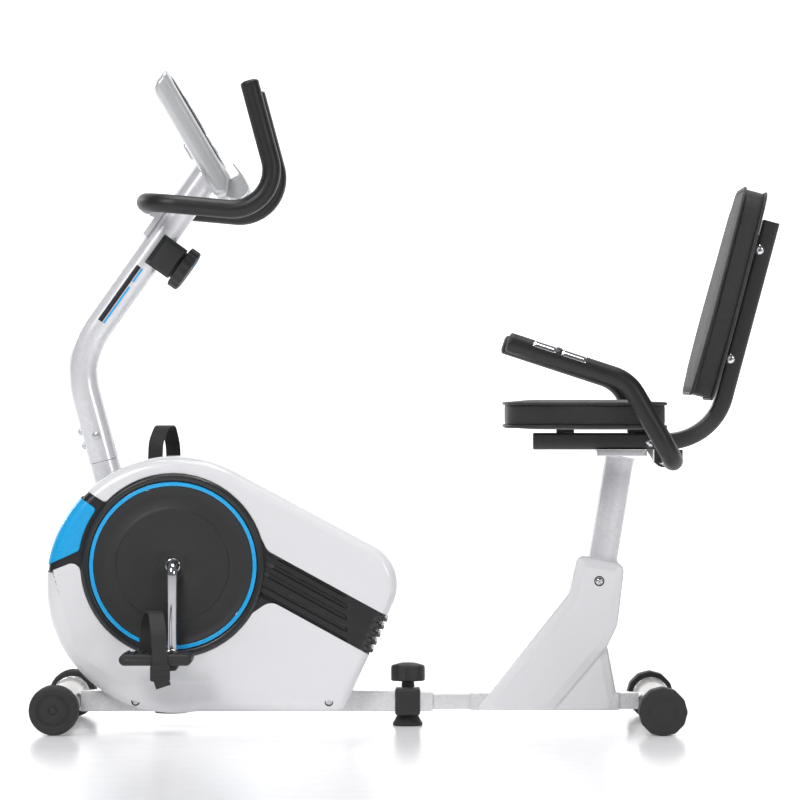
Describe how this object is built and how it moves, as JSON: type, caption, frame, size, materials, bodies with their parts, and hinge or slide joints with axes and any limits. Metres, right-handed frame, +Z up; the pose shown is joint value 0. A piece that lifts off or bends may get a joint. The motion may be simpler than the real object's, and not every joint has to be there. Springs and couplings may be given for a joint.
{
  "type": "recumbent exercise bike",
  "caption": "Step-through recumbent exercise bike with a belt-driven magnetic flywheel, a bent handlebar post and a seat on a sliding rail.",
  "frame": {"origin": "on the floor, at the middle of the length and width", "axes": "+X runs from the console end to the seat end, so the rider faces -X and their left is -Y; +Z is up"},
  "size_m": [1.2484, 0.52, 1.1],
  "materials": {
    "white_paint": "gloss",
    "pearl_paint": "pearl gloss",
    "champagne_paint": "metallic",
    "dark_paint": "satin",
    "silver_steel": "satin",
    "chrome": "polished",
    "iron": "machined",
    "white_plastic": "gloss",
    "blue_plastic": "gloss",
    "silver_plastic": "metallic gloss",
    "black_plastic": "satin",
    "dark_plastic": "satin",
    "screen": "clear gloss",
    "foam": "matt foam",
    "vinyl": "grained vinyl",
    "foot_rubber": "matt",
    "belt_rubber": "matt"
  },
  "bodies": {
    "front_frame": {"base_rail": "white_paint", "front_stabilizer": "pearl_paint", "foot_saddle": "black_plastic", "frame_mast": "dark_paint", "belt": "belt_rubber", "flywheel_fork": "dark_paint", "handlebar_post": "pearl_paint", "console_case": "silver_plastic", "console_screen": "screen", "tablet_ledge": "silver_plastic", "handlebar_tube": "dark_paint", "handlebar_bracket": "pearl_paint", "tension_housing": "dark_plastic", "front_accent": "blue_plastic", "housing_core_left": "black_plastic", "housing_core_right": "black_plastic", "upper_cover_left": "white_plastic", "upper_cover_right": "white_plastic", "lower_cover_left": "white_plastic", "lower_cover_right": "white_plastic", "hub_disc_left": "black_plastic", "hub_disc_right": "black_plastic", "crank_bearing_left": "silver_steel", "crank_bearing_right": "silver_steel", "handlebar_grip_left": "foam", "handlebar_grip_right": "foam"},
    "rear_base": {"inner_rail": "silver_steel", "rear_stabilizer": "champagne_paint", "seat_base": "pearl_paint", "seat_post": "silver_steel", "seat_frame": "dark_paint", "seat_cushion": "vinyl", "back_cushion": "vinyl", "back_board": "dark_plastic", "armrest_tube": "dark_paint", "armrest_bracket": "dark_paint", "seat_spacer_front": "dark_plastic", "seat_spacer_rear": "dark_plastic", "armrest_grip_left": "foam", "armrest_grip_right": "foam", "rear_cover_left": "white_plastic", "rear_cover_right": "white_plastic"},
    "crankset": {"crank": "chrome", "drive_pulley": "black_plastic"},
    "pedal_left": {"pedal_left": "black_plastic", "strap_left": "foot_rubber"},
    "pedal_right": {"pedal_right": "black_plastic", "strap_right": "foot_rubber"},
    "flywheel": {"flywheel": "iron"},
    "magnet_bracket": {"magnet_bracket": "iron"},
    "tension_knob": {"tension_knob": "black_plastic"},
    "front_wheel_left": {"front_wheel_left": "foot_rubber"},
    "front_wheel_right": {"front_wheel_right": "foot_rubber"},
    "rear_cap_left": {"rear_cap_left": "foot_rubber"},
    "rear_cap_right": {"rear_cap_right": "foot_rubber"},
    "lock_knob": {"lock_knob": "black_plastic"},
    "foot_pad": {"foot_pad": "foot_rubber"},
    "button_left": {"button_left": "dark_plastic"},
    "button_middle": {"button_middle": "dark_plastic"},
    "button_right": {"button_right": "dark_plastic"}
  },
  "joints": [
    {"name": "rail_slide", "type": "slide", "parent": "front_frame", "child": "rear_base", "axis": [1, 0, 0], "range_m": [-0.06, 0.1]},
    {"name": "crank_spin", "type": "hinge", "parent": "front_frame", "child": "crankset", "pos_m": [-0.396, 0, 0.273], "axis": [0, -1, 0], "continuous": true},
    {"name": "pedal_left_spin", "type": "hinge", "parent": "crankset", "child": "pedal_left", "pos_m": [-0.396, -0.185, 0.121], "axis": [0, -1, 0], "continuous": true},
    {"name": "pedal_right_spin", "type": "hinge", "parent": "crankset", "child": "pedal_right", "pos_m": [-0.396, 0.185, 0.425], "axis": [0, -1, 0], "continuous": true},
    {"name": "flywheel_spin", "type": "hinge", "parent": "front_frame", "child": "flywheel", "pos_m": [-0.17, 0, 0.19], "axis": [0, -1, 0], "continuous": true},
    {"name": "tension_knob_turn", "type": "hinge", "parent": "front_frame", "child": "tension_knob", "pos_m": [-0.38948, 0, 0.7771], "axis": [0.8141, 0, -0.5807], "range_deg": [0, 270]},
    {"name": "magnet_swing", "type": "hinge", "parent": "front_frame", "child": "magnet_bracket", "pos_m": [-0.111, 0, 0.292], "axis": [0, 1, 0], "range_deg": [0, 4]},
    {"name": "front_wheel_left_spin", "type": "hinge", "parent": "front_frame", "child": "front_wheel_left", "pos_m": [-0.584, -0.234, 0.041], "axis": [0, -1, 0], "continuous": true},
    {"name": "front_wheel_right_spin", "type": "hinge", "parent": "front_frame", "child": "front_wheel_right", "pos_m": [-0.584, 0.234, 0.041], "axis": [0, -1, 0], "continuous": true},
    {"name": "rear_cap_left_turn", "type": "hinge", "parent": "rear_base", "child": "rear_cap_left", "pos_m": [0.416, -0.234, 0.039], "axis": [0, -1, 0], "range_deg": [-180, 180]},
    {"name": "rear_cap_right_turn", "type": "hinge", "parent": "rear_base", "child": "rear_cap_right", "pos_m": [0.416, 0.234, 0.039], "axis": [0, -1, 0], "range_deg": [-180, 180]},
    {"name": "lock_knob_turn", "type": "hinge", "parent": "front_frame", "child": "lock_knob", "pos_m": [-0.003, 0, 0.0888], "axis": [0, 0, 1], "range_deg": [0, 540]},
    {"name": "foot_screw", "type": "slide", "parent": "front_frame", "child": "foot_pad", "axis": [0, 0, -1], "range_m": [0, 0.006]},
    {"name": "button_left_press", "type": "slide", "parent": "front_frame", "child": "button_left", "axis": [-0.8634, 0, -0.5045], "range_m": [0, 0.0015], "stiffness_N_per_m": 300, "springref_m": -0.001},
    {"name": "button_middle_press", "type": "slide", "parent": "front_frame", "child": "button_middle", "axis": [-0.8634, 0, -0.5045], "range_m": [0, 0.0015], "stiffness_N_per_m": 300, "springref_m": -0.001},
    {"name": "button_right_press", "type": "slide", "parent": "front_frame", "child": "button_right", "axis": [-0.8634, 0, -0.5045], "range_m": [0, 0.0015], "stiffness_N_per_m": 300, "springref_m": -0.001}
  ],
  "couplings": [
    {"joint": "flywheel_spin", "follows": "crank_spin", "ratio": 7.5},
    {"joint": "magnet_swing", "follows": "tension_knob_turn", "ratio": 0.014815}
  ]
}
